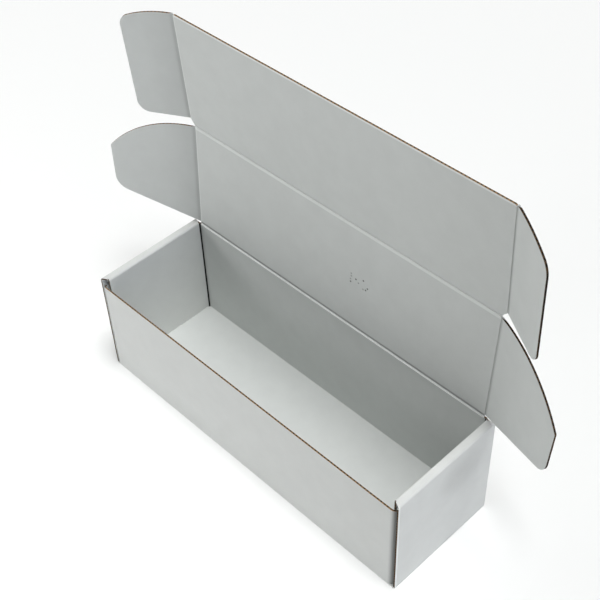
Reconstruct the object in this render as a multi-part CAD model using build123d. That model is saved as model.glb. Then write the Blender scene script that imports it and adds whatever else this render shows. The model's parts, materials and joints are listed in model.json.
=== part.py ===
from build123d import *
from math import cos, radians, sin, sqrt
import os

# Mailer box folded from one die-cut sheet of white-lined corrugated board.
# +X runs along the length, +Y to the back, +Z up; the origin is the centre of the base's underside.
# The base, the front and back walls and the rolled-over double side walls stay folded: the tray.
# The lid, its two side flaps, the front tuck panel and its two ears turn on their creases.

# Board
board = 1.6                 # thickness of the fine-fluted board
inner_bend = 0.3            # inner radius of a pressed fold
layer_gap = 0.3             # air between two layers that lie against each other
crease_gap = 0.3            # air along a working crease

# Tray
box_length = 340.0          # outside, along X
box_depth = 107.5           # outside, along Y
side_height = 106.5         # top of the rolled-over side walls
front_height = 97.4         # top edge of the front wall
left_corner_bend = 2.0      # outer radius of the front wall's left upright fold
right_corner_bend = 5.7     # the same on the right, which is folded less sharply
back_corner_bend = 3.2      # the same at both ends of the back wall
corner_leg = 1.0            # straight start of a corner flap behind its fold
corner_flap_length = 46.0   # reach of a corner flap along the side wall
corner_flap_taper = 4.0     # how much its free end is narrowed, top and bottom
corner_flap_round = 5.0     # rounding of its free end
front_set_back = 3.8        # rolled-over panel short of the front face, room for the tuck panel
back_set_back = 2.4         # rolled-over panel short of the back face

# Locking tabs of the rolled-over panels, and their slots in the base
tab_width = 24.0
tab_offset = 28.0           # tab centre from the middle of the side
tab_taper = 2.0
slot_play = 0.4

# Lid
lid_depth = 103.9           # back crease to front crease
lid_angle = 93.1            # from closed, as it stands open
hinge_rise = 0.3            # back crease above the side walls' top
lid_side_play = 0.8         # folded lid flap to the rolled-over panel

# Lid side flaps: reach is outward from the crease, rise is along the lid from the back crease
flap_reach = 80.5
flap_foot = 2.2             # rise of the crease's back end
flap_head = 101.5           # rise of the crease's front end
flap_arc = 100.0            # radius of the long curve from the crease's front end to the tip
flap_tip_rise = 66.0
flap_heel_rise = 23.3
flap_tip_round = 2.0
flap_heel_round = 14.0
left_flap_angle = 27.0      # folded in from the lid, as it stands
right_flap_angle = 23.0

# Front tuck panel
tuck_height = 105.0
tuck_angle = 6.5            # folded in from the lid, as it stands
tuck_shoulder = 5.0         # height of the cut corner beside the lid
tuck_free_round = 1.5

# Tuck ears: reach is outward from the crease, rise is from the lid's front crease
ear_reach = 48.0
ear_foot = 5.4              # rise of the crease's lower end
ear_drop = 1.6              # fall of the lower edge towards the outside
ear_arc = 100.0             # radius of the long curve from the free edge to the tip
ear_tip_drop = 10.4         # fall of that curve towards the outside
ear_tip_round = 11.0
ear_heel_round = 10.0
left_ear_angle = 25.0       # folded in from the tuck panel, as it stands
right_ear_angle = 30.0

# Worked out
half_length = box_length / 2
half_depth = box_depth / 2
outer_bend = inner_bend + board
middle_bend = inner_bend + board / 2
ear_slot = board + 2 * layer_gap
corner_flap_face = half_length - board - layer_gap
roll_over_width = 3 * board + layer_gap + ear_slot
inner_face = half_length - roll_over_width
panel_bottom = board + layer_gap
corner_bottom = outer_bend + layer_gap
crease_clear = board / 2 + crease_gap
hinge_y = half_depth - board / 2
hinge_z = side_height + hinge_rise
lid_crease_x = inner_face - lid_side_play - board / 2
ear_crease_x = corner_flap_face - board - layer_gap - board / 2
back_height = hinge_z - crease_clear
back_corner_height = side_height - board - layer_gap


def slab(outline):
    # a flat panel of board, its middle plane on the outline's plane
    return extrude(outline, amount=board / 2, both=True)


def rounded(face, points, rounds):
    # rounds is {point number: radius}
    for number, radius in rounds.items():
        corner = face.vertices().sort_by_distance((*points[number], 0))[0]
        face = fillet(corner, radius)
    return face


def outline_of(points, rounds):
    # straight-sided outline with the named corners rounded
    return rounded(make_face(Polyline(*points, close=True)), points, rounds)


def arched_outline(points, radius, rounds):
    # four-sided outline whose side from the second point to the third is a long outward arc
    foot, head, tip, heel = points
    chord = Vector(*tip) - Vector(*head)
    rise = radius - sqrt(radius**2 - (chord.length / 2) ** 2)
    outward = Vector(-chord.Y, chord.X).normalized()
    crown = Vector(*head) + chord / 2 + outward * rise
    border = Polyline(tip, heel, foot, head) + ThreePointArc(head, crown, tip)
    return rounded(make_face(border), points, rounds)


def crease_bead(start, end):
    # the rounded crease edge of a turning panel, centred on its axis
    along = Vector(*end) - Vector(*start)
    seat = Plane(origin=(*start, 0), z_dir=(along.X, along.Y, 0))
    return extrude(seat * Circle(board / 2), amount=along.length)


def folded_side():
    # base, outer wall, top and rolled-over inner wall as one bent strip along the whole depth
    middle = board / 2
    path = FilletPolyline(
        (0, middle),
        (half_length - middle, middle),
        (half_length - middle, side_height - middle),
        (inner_face + middle, side_height - middle),
        (inner_face + middle, panel_bottom),
        radius=middle_bend,
    )
    strip = trace(path, line_width=board)
    return extrude(Plane.XZ * strip, amount=half_depth, both=True)


def roll_over_trim(set_back, end):
    # what the die cuts off the top and the inner wall at one end: end is -1 in front, 1 at the back
    face = end * half_depth
    back = end * (half_depth - set_back)
    over = end * (half_depth + board)
    slant = make_face(Polyline(
        (half_length, face),
        (inner_face, back),
        (inner_face - board, back),
        (inner_face - board, over),
        (half_length, over),
        close=True,
    ))
    top = Pos(0, 0, side_height - outer_bend) * extrude(slant, amount=2 * outer_bend)
    wall_width = board + 2 * layer_gap
    wall_middle = inner_face + board / 2
    wall_height = side_height - panel_bottom + board
    wall = Pos(wall_middle, (back + over) / 2, panel_bottom + wall_height / 2 - layer_gap / 2) * Box(
        wall_width, abs(over - back), wall_height
    )
    return top + wall


def locking_tab(y):
    # tongue under the rolled-over panel that drops into the base's slot
    half = tab_width / 2
    tongue = make_face(Polyline(
        (y - half, panel_bottom + board),
        (y + half, panel_bottom + board),
        (y + half, panel_bottom),
        (y + half - tab_taper, layer_gap / 2),
        (y - half + tab_taper, layer_gap / 2),
        (y - half, panel_bottom),
        close=True,
    ))
    return Pos(inner_face + board / 2, 0, 0) * extrude(Plane.YZ * tongue, amount=board / 2, both=True)


def base_slot(y):
    return Pos(inner_face + board / 2, y, board / 2) * Box(
        board + slot_play, tab_width + slot_play, board + layer_gap
    )


def corner_slit(end):
    # cut that parts the front or back fold from the side fold at the foot of a corner
    depth = outer_bend + layer_gap
    middle_y = end * (half_depth - depth / 2)
    return Pos(corner_flap_face + layer_gap / 2, middle_y, depth / 2) * Box(layer_gap, depth, depth)


def corner_flap(end, side, top, bend):
    # flap turned back from the end of the front or back wall, trapped in the double side wall
    start = end * (half_depth - bend - corner_leg)
    tip = end * (half_depth - corner_flap_length)
    outline = outline_of(
        [
            (start, corner_bottom),
            (tip, corner_bottom + corner_flap_taper),
            (tip, top - corner_flap_taper),
            (start, top),
        ],
        {1: corner_flap_round, 2: corner_flap_round},
    )
    return Pos(side * (corner_flap_face - board / 2), 0, 0) * slab(Plane.YZ * outline)


def end_foot(end, left_bend, right_bend):
    # fold between the base and the front or back wall, its ends rounded like the upright folds
    middle_y = end * (half_depth - board / 2)
    fold = FilletPolyline(
        (0, board / 2),
        (middle_y, board / 2),
        (middle_y, corner_bottom + board),
        radius=middle_bend,
    )
    strip = extrude(Plane.YZ * trace(fold, line_width=board), amount=corner_flap_face, both=True)
    ends = outline_of(
        [
            (-corner_flap_face, end * half_depth),
            (corner_flap_face, end * half_depth),
            (corner_flap_face, -end * board),
            (-corner_flap_face, -end * board),
        ],
        {0: left_bend, 1: right_bend},
    )
    return strip & extrude(ends, amount=corner_bottom + 2 * board)


def end_wall(end, corner_top, wall_top, left_bend, right_bend):
    # front (-1) or back (1) wall: foot fold, wall, upright folds and both corner flaps
    middle_y = end * (half_depth - board / 2)
    flap_x = corner_flap_face - board / 2
    wall = end_foot(end, left_bend, right_bend)
    for side, bend in ((-1, left_bend), (1, right_bend)):
        plan = FilletPolyline(
            (0, middle_y),
            (side * flap_x, middle_y),
            (side * flap_x, end * (half_depth - bend - corner_leg)),
            radius=bend - board / 2,
        )
        upright = extrude(trace(plan, line_width=board), amount=corner_top - corner_bottom)
        wall += Pos(0, 0, corner_bottom) * upright
        wall += corner_flap(end, side, corner_top, bend)
    if wall_top > corner_top:
        rise = wall_top - corner_bottom
        crest = Box(2 * (inner_face - layer_gap), board, rise)
        wall += Pos(0, middle_y, corner_bottom + rise / 2) * crest
    return wall


def tray():
    side = folded_side()
    side -= roll_over_trim(front_set_back, -1)
    side -= roll_over_trim(back_set_back, 1)
    body = side + mirror(side, about=Plane.YZ)
    body += end_wall(-1, front_height, front_height, left_corner_bend, right_corner_bend)
    body += end_wall(1, back_corner_height, back_height, back_corner_bend, back_corner_bend)
    cuts = [corner_slit(-1), corner_slit(1), base_slot(-tab_offset), base_slot(tab_offset)]
    for cut in cuts:
        body -= cut
        body -= mirror(cut, about=Plane.YZ)
    for y in (-tab_offset, tab_offset):
        tab = locking_tab(y)
        body += tab
        body += mirror(tab, about=Plane.YZ)
    return body


def lid_panel():
    # flat: X along the length, Y from the back crease to the front crease, Z towards the inside
    half = lid_crease_x - crease_clear
    front = lid_depth - crease_clear
    panel = slab(Pos(0, front / 2) * Rectangle(2 * half, front))
    return panel + crease_bead((-half, 0), (half, 0))


def tuck_panel():
    # flat: Y from the lid's front crease to the free edge
    half = ear_crease_x - crease_clear
    narrow = lid_crease_x - crease_clear
    outline = outline_of(
        [
            (-narrow, 0),
            (narrow, 0),
            (half, tuck_shoulder),
            (half, tuck_height),
            (-half, tuck_height),
            (-half, tuck_shoulder),
        ],
        {3: tuck_free_round, 4: tuck_free_round},
    )
    return slab(outline) + crease_bead((-narrow, 0), (narrow, 0))


def lid_flap():
    # flat: X outward from the crease, Y along the lid
    outline = arched_outline(
        [
            (0, flap_foot),
            (0, flap_head),
            (flap_reach, flap_tip_rise),
            (flap_reach - board, flap_heel_rise),
        ],
        flap_arc,
        {2: flap_tip_round, 3: flap_heel_round},
    )
    return slab(outline) + crease_bead((0, flap_foot), (0, flap_head))


def tuck_ear():
    # flat: X outward from the crease, Y along the tuck panel
    outline = arched_outline(
        [
            (0, ear_foot),
            (0, tuck_height),
            (ear_reach, tuck_height - ear_tip_drop),
            (ear_reach - board / 2, ear_foot - ear_drop),
        ],
        ear_arc,
        {2: ear_tip_round, 3: ear_heel_round},
    )
    return slab(outline) + crease_bead((0, ear_foot), (0, tuck_height))


def panel_plane(y, z, angle):
    # plane of a panel that stands at an angle from closed, its Y up the panel and its Z inward
    return Plane(
        origin=(0, y, z),
        x_dir=(1, 0, 0),
        z_dir=(0, -sin(radians(angle)), -cos(radians(angle))),
    )


def turned(flat, carrier, crease_x, angle, side):
    # puts a flat flap on its crease beside a carrier panel, folded in by an angle: side -1 left, 1 right
    piece = flat if side > 0 else mirror(flat, about=Plane.YZ)
    return carrier * (Pos(side * crease_x, 0, 0) * Rot(0, -side * angle, 0) * piece)


lid_plane = panel_plane(hinge_y, hinge_z, lid_angle)
tuck_y = hinge_y - lid_depth * cos(radians(lid_angle))
tuck_z = hinge_z + lid_depth * sin(radians(lid_angle))
tuck_plane = panel_plane(tuck_y, tuck_z, lid_angle - tuck_angle)

nodes = {
    "tray": tray(),
    "lid": lid_plane * lid_panel(),
    "front_tuck_panel": tuck_plane * tuck_panel(),
    "lid_flap_left": turned(lid_flap(), lid_plane, lid_crease_x, left_flap_angle, -1),
    "lid_flap_right": turned(lid_flap(), lid_plane, lid_crease_x, right_flap_angle, 1),
    "tuck_ear_left": turned(tuck_ear(), tuck_plane, ear_crease_x, left_ear_angle, -1),
    "tuck_ear_right": turned(tuck_ear(), tuck_plane, ear_crease_x, right_ear_angle, 1),
}

os.makedirs("parts", exist_ok=True)
for name, shape in nodes.items():
    export_step(shape, "parts/" + name + ".step")
print("board", board, "closed side", round(roll_over_width, 2), "hinge at", hinge_y, hinge_z)
print("lid crease", lid_crease_x, "ear crease", ear_crease_x, "tuck crease at", tuck_y, tuck_z)
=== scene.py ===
import bmesh
import bpy
import json
import math
from mathutils import Matrix, Vector


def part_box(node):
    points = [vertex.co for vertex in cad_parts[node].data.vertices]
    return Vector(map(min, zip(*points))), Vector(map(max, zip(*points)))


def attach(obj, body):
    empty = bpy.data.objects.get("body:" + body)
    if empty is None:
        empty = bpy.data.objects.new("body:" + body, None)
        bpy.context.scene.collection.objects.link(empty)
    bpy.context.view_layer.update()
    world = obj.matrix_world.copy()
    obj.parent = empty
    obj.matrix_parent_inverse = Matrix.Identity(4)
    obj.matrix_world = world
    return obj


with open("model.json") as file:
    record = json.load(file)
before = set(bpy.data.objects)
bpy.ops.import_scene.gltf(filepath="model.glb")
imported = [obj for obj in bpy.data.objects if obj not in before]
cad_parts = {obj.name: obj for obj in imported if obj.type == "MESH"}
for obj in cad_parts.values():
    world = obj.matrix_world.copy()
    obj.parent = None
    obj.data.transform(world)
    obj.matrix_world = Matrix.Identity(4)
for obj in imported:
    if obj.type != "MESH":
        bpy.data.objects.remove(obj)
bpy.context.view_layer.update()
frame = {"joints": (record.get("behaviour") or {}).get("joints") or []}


mm = 0.001
alongX = Vector((1, 0, 0))
alongY = Vector((0, 1, 0))
alongZ = Vector((0, 0, 1))

# Each crease is a joint: a point on its axis, and a direction along it. The side creases of
# the lid and the tuck panel say which way these two stand.
joints = {joint["name"]: (Vector(joint["pos_m"]), Vector(joint["axis"]).normalized())
          for joint in frame["joints"]}
lidUp = joints["lid_flap_right_fold"][1]
lidInward = alongX.cross(lidUp)
tuckUp = joints["tuck_ear_right_fold"][1]
tuckInward = alongX.cross(tuckUp)


def linearColour(code):
    parts = [int(code[i:i + 2], 16) / 255 for i in (1, 3, 5)]
    flat = [c / 12.92 if c <= 0.04045 else ((c + 0.055) / 1.055) ** 2.4 for c in parts]
    return (*flat, 1.0)


def addNode(tree, kind, inputs=None, **settings):
    node = tree.nodes.new(kind)
    for name, value in settings.items():
        setattr(node, name, value)
    for name, value in (inputs or {}).items():
        if isinstance(value, bpy.types.NodeSocket):
            tree.links.new(value, node.inputs[name])
        else:
            node.inputs[name].default_value = value
    return node


def newMaterial(name):
    material = bpy.data.materials.new(name)
    material.use_nodes = True
    tree = material.node_tree
    tree.nodes.clear()
    return material, tree


# Lines of the tray, besides its creases, round which painted shade and highlights lie on its
# liners: a place in mm and a direction.
trayLines = {
    "back_left": ((-162.6, 52.1, 0), (0, 0, 1)),
    "back_right": ((162.6, 52.1, 0), (0, 0, 1)),
    "front_right": ((168.4, -53.0, 0), (0, 0, 1)),
    "left_spine": ((-166.6, 0, 106.5), (0, 1, 0)),
    "right_wall_front": ((170.0, -53.75, 0), (0, 0, 1)),
    "right_hollow": ((170.0, 16.0, 82.0), (0.944, 0.33, 0)),  # slanted, to miss the left wall
}

# Small dark specks on the lid's inside, as (x, height) with the box as it stands, in mm.
speckValues = {
    "speck": [(20.4, 152.8), (25.8, 158.2), (33.5, 161.5), (36.3, 153.4), (38.1, 155.9)],
    "faintSpeck": [(20.7, 161.3), (20.9, 158.8), (20.2, 155.5), (28.6, 156.0), (33.6, 152.7)],
}

# Painted shade and highlights on a liner, and specks of dirt, at so many mm from a line, 1 being
# its own colour.
lineTones = {
    # insides of the lid and the tuck panel, from their creases: painted highlights and painted
    # shade along them, a painted shade towards the far end, and specks of dirt
    "lidFoot": [(0.0, 1.6), (0.9, 1.5), (1.1, 0.8), (1.4, 0.5), (2.3, 0.52), (3.0, 1.0)],
    "lidBand": [(0.0, 1.05), (0.8, 1.1), (1.2, 1.2), (3.8, 1.2), (4.4, 0.99), (5.2, 1.0)],
    "tuckFoot": [(0.0, 1.0), (0.4, 0.95), (1.0, 0.92), (1.5, 1.0)],
    "bright": [(0.0, 1.0), (0.9, 1.0), (1.3, 1.16), (2.0, 1.12), (2.8, 1.0)],
    "faintBright": [(0.0, 0.92), (0.9, 0.96), (1.3, 1.05), (2.0, 1.04), (2.8, 1.0)],
    "farEnd": [(0.0, 0.93), (100.0, 1.0)],
    "speck": [(0.0, 0.1), (0.6, 0.25), (1.0, 1.0)],
    "faintSpeck": [(0.0, 0.5), (0.6, 0.62), (1.0, 1.0)],
    # insides of the flaps and ears: painted shade along their creases, with a wide painted shade on
    # the left ones and a wide painted light on the right ones
    "soft": [(0.0, 0.83), (0.5, 0.72), (1.5, 0.7), (2.5, 0.8), (4.2, 0.86), (30.0, 0.94)],
    "fine": [(0.0, 0.9), (0.6, 0.74), (1.3, 0.76), (1.9, 0.95), (3.0, 1.02), (50.0, 1.07)],
    # outsides of all six: a painted shade line along each crease
    "outside": [(0.0, 1.0), (0.8, 1.0), (1.2, 0.9), (1.7, 0.97), (2.6, 1.0)],
    # the tray: a painted highlight along the back wall's top, painted shadows in the back corner
    # slots and on the front wall's right fold, and painted shade on the left spine and the right
    # wall
    "wallTop": [(0.0, 1.3), (1.3, 1.2), (1.9, 0.94), (2.8, 1.0)],
    "slot": [(0.0, 0.02), (1.1, 0.05), (1.6, 0.8), (3.0, 0.94), (6.0, 1.0)],
    "turned": [(0.0, 0.16), (1.6, 0.2), (2.6, 0.33), (3.6, 0.54), (4.8, 0.78), (6.5, 0.93),
               (60.0, 0.95)],
    "spine": [(0.0, 0.9), (3.6, 0.9), (4.2, 1.0)],
    "rightWallShade": [(0.0, 0.82), (12.0, 0.86), (24.0, 0.97), (34.0, 1.0)],
    # a painted highlight on a liner along a cut
    "rim": [(0.0, 1.3), (1.4, 1.28), (2.0, 1.0)],
}
brightestTone = 2.0  # a ramp's colours end at 1, so the tones are divided by this in it

lines = dict(joints)
for name, (place, direction) in trayLines.items():
    lines[name] = (Vector(place) * mm, Vector(direction))
tuckFold = joints["tuck_panel_fold"][0]
tuckReach = (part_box("front_tuck_panel")[1][2] - tuckFold.z) / tuckUp.z
lines["tuck_edge"] = (tuckFold + tuckUp * tuckReach, alongX)
hinge = joints["lid_hinge"][0]
specks = []
for tone, places in speckValues.items():
    for x, height in places:
        name = "speck_%d" % len(specks)
        climb = (height * mm - hinge.z) / lidUp.z
        lines[name] = (hinge + alongX * x * mm + lidUp * climb, lidInward)  # straight through it
        specks.append((name, tone))


def lineShade(tree, place, shadings):
    # painted shade and highlights, and specks of dirt, at place: its tones round all of its lines,
    # multiplied
    shade = None
    for lineName, toneName in shadings:
        point, direction = lines[lineName]
        tones = lineTones[toneName]
        widest = tones[-1][0]
        offset = addNode(tree, "ShaderNodeVectorMath", {0: place, 1: point}, operation="SUBTRACT")
        turned = addNode(tree, "ShaderNodeVectorMath", {0: offset.outputs[0], 1: direction},
                         operation="CROSS_PRODUCT")
        length = addNode(tree, "ShaderNodeVectorMath", {0: turned.outputs[0]}, operation="LENGTH")
        reach = addNode(tree, "ShaderNodeMath",
                        {0: length.outputs["Value"], 1: 1 / (widest * mm)}, operation="MULTIPLY")
        ramp = addNode(tree, "ShaderNodeValToRGB", {"Fac": reach.outputs[0]})
        stops = ramp.color_ramp.elements
        for i, (distance, tone) in enumerate(tones):
            grey = tone / brightestTone
            stop = stops[i] if i < 2 else stops.new(distance / widest)  # a new ramp has two
            stop.position = distance / widest
            stop.color = (grey, grey, grey, 1)
        toned = addNode(tree, "ShaderNodeMath", {0: ramp.outputs[0], 1: brightestTone},
                        operation="MULTIPLY").outputs[0]
        if shade:
            toned = addNode(tree, "ShaderNodeMath", {0: shade, 1: toned},
                            operation="MULTIPLY").outputs[0]
        shade = toned
    return shade


# White-lined board with a fine flute, in mm. A layer begins so far inside from the sheet's
# middle, and fades in over a short way.
boardValues = {
    "thickness": 1.6,
    "flutePitch": 3.3,
    "fluteHeight": 0.5,
    "mediumHalf": 0.11,
    "mediumFade": 0.08,
    "linerInside": 0.6,
    "linerFade": 0.05,
    "rimInside": 0.7,
    "rimFade": 0.03,
    "litFade": 0.05,
    "rim": "#d0cdc6",
    "linerCut": "#8f7860",
    "medium": "#7d6347",
    "hollowPaintedLight": "#8a6a49",
    "hollowPaintedShadow": "#0b0806",
    "roughness": 0.9,
    "specular": 0.2,
}

# The paper of its liners, in mm: first the colour and roughness of each of its uses.
paperValues = {
    "outer": ("#dbdddb", 0.6),
    "inner": ("#ced1cf", 0.75),
    # painted shade: the paper in the flap and ear creases is darker than the liners; painted
    # highlight: the paper along the hinge and the lid's front crease is lighter
    "fold": ("#bfc2c0", 0.7),
    "ridge": ("#eff1ef", 0.7),
    "specular": 0.3,
    "mottleWidth": 16.67,
    "mottleDetail": 4.0,
    "mottleRoughness": 0.6,
    "mottleSpread": (0.3, 0.7),
    "mottleTones": (0.98, 1.02),
    "grainWidth": 1.111,  # coarser than real fibres, so that it shows
    "grainDetail": 3.0,
    "grainDepth": 0.08,
    "grainStrength": 0.25,
    "fluteDepth": 0.02,
    "fluteStrength": 0.3,
    "creaseDepth": 1.0,
    "creaseStrength": 0.5,
}


def fluteWave(tree, place, across):
    # rises and falls once for each flute along across
    along = addNode(tree, "ShaderNodeVectorMath", {0: place, 1: across},
                    operation="DOT_PRODUCT").outputs["Value"]
    angle = addNode(tree, "ShaderNodeMath",
                    {0: along, 1: 2 * math.pi / (boardValues["flutePitch"] * mm)},
                    operation="MULTIPLY")
    return addNode(tree, "ShaderNodeMath", {0: angle.outputs[0]}, operation="SINE")


def linerPaper(name, use, across, shadings):
    # calendered white paper: matt, with a faint mottle, fibre grain, the flutes just showing
    # through, specks of dirt, and painted shade and highlights round its lines
    code, roughness = paperValues[use]
    material, tree = newMaterial(name)
    place = addNode(tree, "ShaderNodeTexCoord").outputs["Object"]
    mottle = addNode(tree, "ShaderNodeTexNoise",
                     {"Vector": place, "Scale": 1 / (paperValues["mottleWidth"] * mm),
                      "Detail": paperValues["mottleDetail"],
                      "Roughness": paperValues["mottleRoughness"]})
    lowest, highest = paperValues["mottleSpread"]
    darkest, lightest = paperValues["mottleTones"]
    shade = addNode(tree, "ShaderNodeMapRange",
                    {"Value": mottle.outputs[0], "From Min": lowest, "From Max": highest,
                     "To Min": darkest, "To Max": lightest}).outputs[0]
    grain = addNode(tree, "ShaderNodeTexNoise",
                    {"Vector": place, "Scale": 1 / (paperValues["grainWidth"] * mm),
                     "Detail": paperValues["grainDetail"]})
    grainBump = addNode(tree, "ShaderNodeBump",
                        {"Strength": paperValues["grainStrength"],
                         "Distance": paperValues["grainDepth"] * mm, "Height": grain.outputs[0]})
    if shadings:
        # painted shade and highlights round the lines, and specks of dirt; the same value is the
        # height of the crease bumps
        paintedShadeAndSpecks = lineShade(tree, place, shadings)
        shade = addNode(tree, "ShaderNodeMath", {0: shade, 1: paintedShadeAndSpecks},
                        operation="MULTIPLY").outputs[0]
        creaseBump = addNode(tree, "ShaderNodeBump",
                             {"Strength": paperValues["creaseStrength"],
                              "Distance": paperValues["creaseDepth"] * mm, "Height": paintedShadeAndSpecks})
        tree.links.new(creaseBump.outputs[0], grainBump.inputs["Normal"])
    colour = addNode(tree, "ShaderNodeVectorMath",
                     {0: linearColour(code)[:3], "Scale": shade}, operation="SCALE")
    flutes = fluteWave(tree, place, across)
    fluteBump = addNode(tree, "ShaderNodeBump",
                        {"Strength": paperValues["fluteStrength"],
                         "Distance": paperValues["fluteDepth"] * mm,
                         "Height": flutes.outputs[0], "Normal": grainBump.outputs[0]})
    shader = addNode(tree, "ShaderNodeBsdfPrincipled",
                     {"Base Color": colour.outputs[0], "Roughness": roughness,
                      "Specular IOR Level": paperValues["specular"],
                      "Normal": fluteBump.outputs[0]})
    addNode(tree, "ShaderNodeOutputMaterial", {"Surface": shader.outputs[0]})
    return material


def cutBoard(name, through, middle, across, mirrored=False, bend=None, tone=1.0):
    # raw edge of die-cut corrugated board: brown liners with a white rim, the wavy medium, and
    # hollows painted near black, a painted shadow, and lighter on one side of it, a painted light.
    # The sheet's middle lies at middle along through, or that far from the upright axis bend;
    # flutes follow each other along across. A mirrored one serves both sides of the box. Tone
    # scales the whole edge's colours, a painted shade or light.
    material, tree = newMaterial(name)
    place = addNode(tree, "ShaderNodeTexCoord").outputs["Object"]
    if mirrored:
        place = addNode(tree, "ShaderNodeVectorMath", {0: place}, operation="ABSOLUTE").outputs[0]
    if bend:
        offset = addNode(tree, "ShaderNodeVectorMath", {0: place, 1: bend}, operation="SUBTRACT")
        flat = addNode(tree, "ShaderNodeVectorMath", {0: offset.outputs[0], 1: (1, 1, 0)},
                       operation="MULTIPLY")
        height = addNode(tree, "ShaderNodeVectorMath", {0: flat.outputs[0]}, operation="LENGTH")
    else:
        height = addNode(tree, "ShaderNodeVectorMath", {0: place, 1: through},
                         operation="DOT_PRODUCT")
    offset = addNode(tree, "ShaderNodeMath", {0: height.outputs["Value"], 1: middle},
                     operation="SUBTRACT")
    level = addNode(tree, "ShaderNodeMath", {0: offset.outputs[0], 1: 1 / mm},
                    operation="MULTIPLY")
    wave = fluteWave(tree, place, across)
    gap = addNode(tree, "ShaderNodeMath", {0: wave.outputs[0], 1: -boardValues["fluteHeight"],
                                           2: level.outputs[0]}, operation="MULTIPLY_ADD")
    apart = addNode(tree, "ShaderNodeMath", {0: gap.outputs[0]}, operation="ABSOLUTE")
    depth = addNode(tree, "ShaderNodeMath", {0: level.outputs[0]}, operation="ABSOLUTE")
    medium = boardValues["mediumHalf"]
    liner = boardValues["linerInside"]
    rim = boardValues["rimInside"]
    # the flute hollows start near black, a painted shadow, and one side is painted lighter
    colour = linearColour(boardValues["hollowPaintedShadow"])
    for layer, distance, start, full in (
        ("hollowPaintedLight", gap, -boardValues["litFade"], boardValues["litFade"]),
        ("medium", apart, medium + boardValues["mediumFade"], medium),
        ("linerCut", depth, liner, liner + boardValues["linerFade"]),
        ("rim", depth, rim, rim + boardValues["rimFade"]),
    ):
        mask = addNode(tree, "ShaderNodeMapRange", {"Value": distance.outputs[0],
                                                    "From Min": start, "From Max": full})
        colour = addNode(tree, "ShaderNodeMix",
                         {0: mask.outputs[0], 6: colour, 7: linearColour(boardValues[layer])},
                         data_type="RGBA").outputs[2]
    toned = addNode(tree, "ShaderNodeVectorMath", {0: colour, "Scale": tone}, operation="SCALE")
    shader = addNode(tree, "ShaderNodeBsdfPrincipled",
                     {"Base Color": toned.outputs[0], "Roughness": boardValues["roughness"],
                      "Specular IOR Level": boardValues["specular"]})
    addNode(tree, "ShaderNodeOutputMaterial", {"Surface": shader.outputs[0]})
    return material


# Flat panels: how light the raw edge is painted, 1 being the board's own colours, a painted shade
# or light; and the lines round which painted shade and highlights, and specks of dirt, lie inside.
panelValues = {
    "lid": {"edge": 1.0, "shadings": [
        ("lid_hinge", "lidFoot"), ("tuck_panel_fold", "lidBand"), ("lid_flap_left_fold", "bright"),
        ("lid_flap_right_fold", "faintBright"), ("lid_flap_right_fold", "farEnd"), *specks]},
    "front_tuck_panel": {"edge": 1.15, "shadings": [
        ("tuck_panel_fold", "tuckFoot"), ("tuck_ear_left_fold", "bright"),
        ("tuck_ear_right_fold", "faintBright"), ("tuck_ear_right_fold", "farEnd"),
        ("tuck_edge", "rim")]},
    "lid_flap_left": {"edge": 1.0, "shadings": [("lid_flap_left_fold", "soft")]},
    "lid_flap_right": {"edge": 0.25, "shadings": [("lid_flap_right_fold", "fine")]},
    "tuck_ear_left": {"edge": 1.0, "shadings": [("tuck_ear_left_fold", "soft")]},
    "tuck_ear_right": {"edge": 0.25, "shadings": [("tuck_ear_right_fold", "fine")]},
}

# What a face of a solid is taken for: the least cosine of its normal to an axis, then mm.
faceValues = {
    "sheet": 0.99,  # one of a panel's two great faces
    "flat": 0.9,  # it lies flat along the sheet
    "end": 0.75,  # a side wall's cut end, which stands a little askew
    "side": 0.5,  # it looks to that side at all
    "beadReach": 1.25,  # so near to a crease's axis it is the paper round the crease
    "slack": 0.4,  # so near to a wall's plane it lies in it
}


def nearCrease(point):
    for place, direction in joints.values():
        offset = point - place
        if (offset - direction * offset.dot(direction)).length < faceValues["beadReach"] * mm:
            return True
    return False


def dressPanel(name, edge, shadings):
    # liners on a flat panel's two faces, cut board round its edge, paper over its creases
    panel = bpy.data.objects[name]
    widest = max(panel.data.polygons, key=lambda face: face.area)
    inward = widest.normal.copy()
    if inward.y > 0:
        inward.negate()
    heights = [face.center.dot(inward) for face in panel.data.polygons
               if abs(face.normal.dot(inward)) > faceValues["sheet"]]
    middle = (max(heights) + min(heights)) / 2
    across = (alongX - inward * inward.x).normalized()
    # painted shade along each crease on the outer liner
    outside = [(line, "outside") for line, tone in shadings
               if line in joints and tone != "farEnd"]  # each crease once
    panel.data.materials.clear()
    for material in (
        linerPaper("white_liner_outside_" + name, "outer", across, outside),
        linerPaper("white_liner_inside_" + name, "inner", across, shadings),
        cutBoard("cut_board_" + name, inward, middle, across, tone=edge),
    ):
        panel.data.materials.append(material)
    for face in panel.data.polygons:
        facing = face.normal.dot(inward)
        if abs(facing) > faceValues["flat"] or nearCrease(face.center):
            face.material_index = 1 if facing > 0 else 0
        else:
            face.material_index = 2


for name, values in panelValues.items():
    dressPanel(name, values["edge"], values["shadings"])
print("panels dressed")

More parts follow.
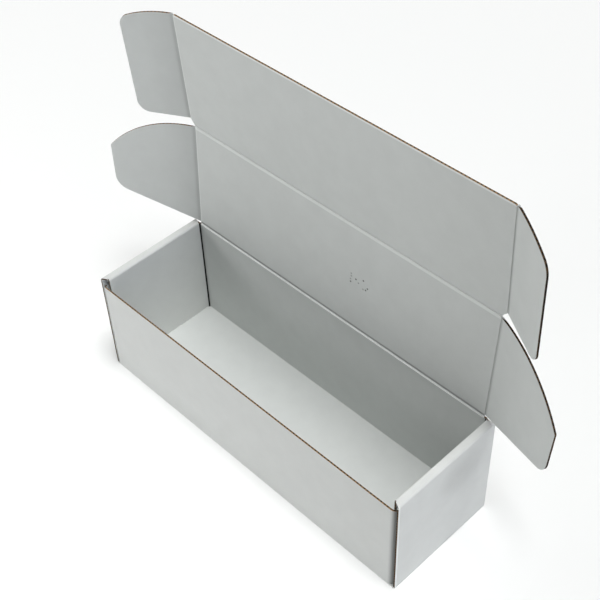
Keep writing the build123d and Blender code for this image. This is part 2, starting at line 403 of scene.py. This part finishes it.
# The tray: how light its raw edges are painted, apart from the long walls', a painted shade. Then,
# in mm, the middle of the sheet where it shows a cut end, the front wall's rounder fold, and where
# walls end.
trayValues = {
    "edge": 0.5,
    "longWallMiddle": 52.95,
    "sideWallMiddle": 169.2,
    "rollOverMiddle": 163.5,
    "sideTopMiddle": 105.7,
    "cornerFlapMiddle": 167.3,
    "frontBend": (162.4, -48.05),
    "frontBendMiddle": 4.9,
    "frontTop": 97.4,
    "backTop": 106.2,
    "sideTopFoot": 104.5,
    "cornerFlapFoot": 166.0,
    "rollOverEnd": 51.5,
    "longInsideFrom": 51.0,
    "baseTop": 2.0,
}
tray = bpy.data.objects["tray"]
trayFinishes = {
    # outside: painted shade on the left spine and the right wall, and a painted highlight along the
    # right wall's front edge
    "outside": linerPaper("white_liner_outside_tray", "outer", alongX,
                          [("left_spine", "spine"), ("right_hollow", "rightWallShade"),
                           ("right_wall_front", "rim")]),
    # inside: a painted highlight along the back wall's top, and painted shadows in the back corner
    # slots
    "inside": linerPaper("white_liner_inside_tray", "inner", alongX,
                         [("lid_hinge", "wallTop"), ("back_left", "slot"),
                          ("back_right", "slot")]),
}
# raw edges other than the long walls' get the tray's painted edge shade
for finish, through, middle, across, edge in (
    ("long_walls", alongY, "longWallMiddle", alongX, 1.0),
    ("corner_flaps", alongX, "cornerFlapMiddle", alongY, trayValues["edge"]),
    ("side_walls", alongX, "sideWallMiddle", alongZ, trayValues["edge"]),
    ("roll_overs", alongX, "rollOverMiddle", alongZ, trayValues["edge"]),
    ("side_tops", alongZ, "sideTopMiddle", alongX, trayValues["edge"]),
):
    trayFinishes[finish] = cutBoard("cut_board_" + finish, through, trayValues[middle] * mm, across,
                                    mirrored=True, tone=edge)
trayFinishes["front_bend"] = cutBoard("cut_board_front_bend", alongY,
                                      trayValues["frontBendMiddle"] * mm, alongY,
                                      bend=Vector((*trayValues["frontBend"], 0)) * mm)
# the front wall's outside: the outer liner with a painted shade at the right corner's rounded fold
trayFinishes["front"] = linerPaper("white_liner_outside_front_painted_shade", "outer", alongX,
                                   [("front_right", "turned")])
tray.data.materials.clear()
for material in trayFinishes.values():
    tray.data.materials.append(material)


def trayFinish(face):
    # which of the tray's finishes a face has
    half = boardValues["thickness"] / 2
    slack = faceValues["slack"]
    sideInside = trayValues["sideWallMiddle"] - half
    longInside = trayValues["longWallMiddle"] - half
    rollOutside = trayValues["rollOverMiddle"] + half
    x, y, z = [abs(value) / mm for value in face.center]
    isBack = face.center.y > 0
    bendX, bendY = trayValues["frontBend"]
    pastX = face.center.x / mm - bendX
    pastY = bendY - face.center.y / mm
    atBend = pastX > 0 and pastY > 0
    aboveBase = z > trayValues["baseTop"]
    up = face.normal.z
    outward = math.copysign(1, face.center.x) * face.normal.x
    endward = math.copysign(1, face.center.y) * face.normal.y

    # raw edges that face up, on the front wall and on the back wall
    if up > faceValues["flat"] and abs(z - trayValues["frontTop"]) < slack:
        if atBend:
            return "front_bend"
        return "long_walls" if x < trayValues["cornerFlapFoot"] else "corner_flaps"
    if up > faceValues["flat"] and isBack and y > trayValues["rollOverEnd"]:
        if trayValues["frontTop"] < z < trayValues["backTop"]:
            return "long_walls"
    # the front wall's outside and the outside of its rounder fold, which carry the painted corner
    # shade
    onBend = atBend and math.hypot(pastX, pastY) > trayValues["frontBendMiddle"]
    onFront = not isBack and y > trayValues["longWallMiddle"] and x < bendX
    if (onFront or (onBend and x < sideInside - slack / 2)) and face.normal.y < 0 and aboveBase:
        return "front"
    # raw edges that face the front or the back, at the ends of the side walls
    if abs(face.normal.y) > faceValues["end"] and x > bendX and aboveBase:
        if z > trayValues["sideTopFoot"]:
            return "side_tops"
        if x > sideInside and y > longInside + slack:
            return "side_walls"
        if x < rollOutside + slack and y < trayValues["rollOverEnd"]:
            return "roll_overs"
    # inside liners: of the side walls, the roll-overs, the base, and the long walls
    if outward < -faceValues["side"] and x > sideInside - slack:
        return "inside"
    if outward > faceValues["side"] and abs(x - rollOutside) < slack:
        return "inside"
    if up > faceValues["side"] and not aboveBase and x < sideInside - slack:
        return "inside"
    if endward < -faceValues["side"] and y > trayValues["longInsideFrom"]:
        if x < trayValues["cornerFlapFoot"]:
            return "inside"
    return "outside"


finishOrder = list(trayFinishes)
for face in tray.data.polygons:
    face.material_index = finishOrder.index(trayFinish(face))
print("tray dressed")

# Paper across the slot between a carrier's edge and the rounded crease: distance into the
# carrier from the crease axis and height over the middle of the board, in mm. A span runs
# along the crease from the joint's point.
foldValues = {
    "section": [(1.6, 0.62), (1.1, 0.66), (0.95, 0.58), (0.84, 0.3), (0.81, 0.0),
                (0.84, -0.3), (0.95, -0.58), (1.1, -0.66), (1.6, -0.62)],
    "ridgeSection": [(1.9, 0.7), (1.65, 1.1), (1.25, 1.22), (0.9, 1.08), (0.82, 0.6), (0.81, 0.0),
                     (0.84, -0.3), (0.95, -0.58), (1.1, -0.66), (1.6, -0.62)],
    "lidSpan": (-160.0, 160.0),
    "flapSpan": (2.2, 101.5),
    "earSpan": (5.4, 103.4),
}
# the fold paper is painted darker, a painted shade in the flap and ear creases; the ridge paper is
# painted lighter, a painted highlight along the hinge and the lid's front crease
foldShadePaper = linerPaper("white_liner_fold_painted_shade", "fold", alongX, [])
ridgeHighlightPaper = linerPaper("white_liner_ridge_painted_highlight", "ridge", alongX, [])


def foldFiller(name, carrier, crease, along, inwards, normal, span, paper=foldShadePaper,
               section="section"):
    # closes the slot beside a crease; inwards points from the crease axis into its carrier
    place = joints[crease][0]
    start, end = [distance * mm for distance in foldValues[span]]
    shape = bmesh.new()
    ring = [shape.verts.new(place + along * start + (inwards * distance + normal * height) * mm)
            for distance, height in foldValues[section]]
    pulled = bmesh.ops.extrude_face_region(shape, geom=[shape.faces.new(ring)])
    corners = [part for part in pulled["geom"] if isinstance(part, bmesh.types.BMVert)]
    bmesh.ops.translate(shape, verts=corners, vec=along * (end - start))
    bmesh.ops.recalc_face_normals(shape, faces=shape.faces)
    mesh = bpy.data.meshes.new(name)
    shape.to_mesh(mesh)
    shape.free()
    mesh.materials.append(paper)
    piece = bpy.data.objects.new(name, mesh)
    bpy.context.scene.collection.objects.link(piece)
    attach(piece, carrier)


foldFiller("fold_lid_back", "tray", "lid_hinge", alongX, -alongZ, -alongY, "lidSpan",
           ridgeHighlightPaper, "ridgeSection")
foldFiller("fold_lid_front", "lid", "tuck_panel_fold", alongX, -lidUp, lidInward, "lidSpan",
           ridgeHighlightPaper)
for side, inwards in (("left", alongX), ("right", -alongX)):
    foldFiller("fold_lid_flap_" + side, "lid", "lid_flap_%s_fold" % side,
               lidUp, inwards, lidInward, "flapSpan")
    foldFiller("fold_tuck_ear_" + side, "front_tuck_panel", "tuck_ear_%s_fold" % side,
               tuckUp, inwards, tuckInward, "earSpan")
print("folds set")

# Camera: solved from the box's corners in the photo. The place and the lens are in mm, the
# angles in degrees.
cameraValues = {
    "place": (473.5, -423.2, 786.2),
    "azimuth": 48.11,
    "elevation": 45.76,
    "roll": -3.24,
    "lens": 69.94,
    "sensor": 36.0,
    "shift": (0.0254, 0.0355),
}
scene = bpy.context.scene
cameraData = bpy.data.cameras.new("camera")
cameraData.lens = cameraValues["lens"]
cameraData.sensor_width = cameraValues["sensor"]
cameraData.shift_x, cameraData.shift_y = cameraValues["shift"]
camera = bpy.data.objects.new("camera", cameraData)
scene.collection.objects.link(camera)
turn = Matrix.Rotation(math.radians(cameraValues["azimuth"]), 4, "Z")
turn = turn @ Matrix.Rotation(math.radians(90 - cameraValues["elevation"]), 4, "X")
turn = turn @ Matrix.Rotation(math.radians(cameraValues["roll"]), 4, "Z")
camera.matrix_world = Matrix.Translation(Vector(cameraValues["place"]) * mm) @ turn
scene.camera = camera
scene.view_settings.view_transform = "Standard"
print("camera set")

# The studio, in metres: a wide soft top light, a small fill from the front left and a weak
# cool light from the right.
studioValues = {
    "ambient": 0.2,
    "aim": (0, 0, 0.15),
    "topFrom": (0.75, -0.1, 3.3),
    "topStrength": 2.5,
    "fillFrom": (-0.6, -0.7, 0.35),
    "fillSize": 0.35,
    "fillPower": 1.6,
    "coolFrom": (3.0, -0.2, 0.4),
    "coolStrength": 0.16,
    "coolColour": (0.2, 0.4, 1.0),
    "spread": 26.0,
    "floor": "#f9faf9",
    "floorHalf": 4.0,
    "floorRoughness": 0.9,
}

# White to the camera and in reflections, softer as a light.
white = (1, 1, 1, 1)
world = bpy.data.worlds.new("studio")
scene.world = world
world.use_nodes = True
tree = world.node_tree
tree.nodes.clear()
rays = addNode(tree, "ShaderNodeLightPath").outputs
seen = addNode(tree, "ShaderNodeMath", {0: rays["Is Camera Ray"], 1: rays["Is Glossy Ray"]},
               operation="MAXIMUM")
seen = addNode(tree, "ShaderNodeMath", {0: seen.outputs[0], 1: rays["Is Transmission Ray"]},
               operation="MAXIMUM")
light = addNode(tree, "ShaderNodeBackground", {"Color": white,
                                               "Strength": studioValues["ambient"]})
backdrop = addNode(tree, "ShaderNodeBackground", {"Color": white, "Strength": 1.0})
shown = addNode(tree, "ShaderNodeMixShader", {0: seen.outputs[0], 1: light.outputs[0],
                                              2: backdrop.outputs[0]})
addNode(tree, "ShaderNodeOutputWorld", {"Surface": shown.outputs[0]})

topData = bpy.data.lights.new("top_light", "SUN")
topData.energy = studioValues["topStrength"]
topData.angle = math.radians(studioValues["spread"])
fillData = bpy.data.lights.new("fill_light", "AREA")
fillData.shape = "DISK"
fillData.size = studioValues["fillSize"]
fillData.energy = studioValues["fillPower"]
coolData = bpy.data.lights.new("cool_light", "SUN")
coolData.energy = studioValues["coolStrength"]
coolData.angle = math.radians(studioValues["spread"])
coolData.color = studioValues["coolColour"]
for data, place in ((topData, "topFrom"), (fillData, "fillFrom"), (coolData, "coolFrom")):
    lamp = bpy.data.objects.new(data.name, data)
    lamp.location = studioValues[place]
    aim = Vector(studioValues["aim"]) - lamp.location
    lamp.rotation_euler = aim.to_track_quat("-Z", "Y").to_euler()
    lamp.visible_camera = False
    scene.collection.objects.link(lamp)

floorShape = bmesh.new()
bmesh.ops.create_grid(floorShape, x_segments=1, y_segments=1, size=studioValues["floorHalf"])
floorMesh = bpy.data.meshes.new("floor")
floorShape.to_mesh(floorMesh)
floorShape.free()
floor = bpy.data.objects.new("floor", floorMesh)
scene.collection.objects.link(floor)
# Matt white paint without gloss, so that only the shadow shows on it.
floorMaterial, tree = newMaterial("matt_white_paint")
shader = addNode(tree, "ShaderNodeBsdfPrincipled",
                 {"Base Color": linearColour(studioValues["floor"]),
                  "Roughness": studioValues["floorRoughness"], "Specular IOR Level": 0.0})
addNode(tree, "ShaderNodeOutputMaterial", {"Surface": shader.outputs[0]})
floorMesh.materials.append(floorMaterial)
print("stage set")
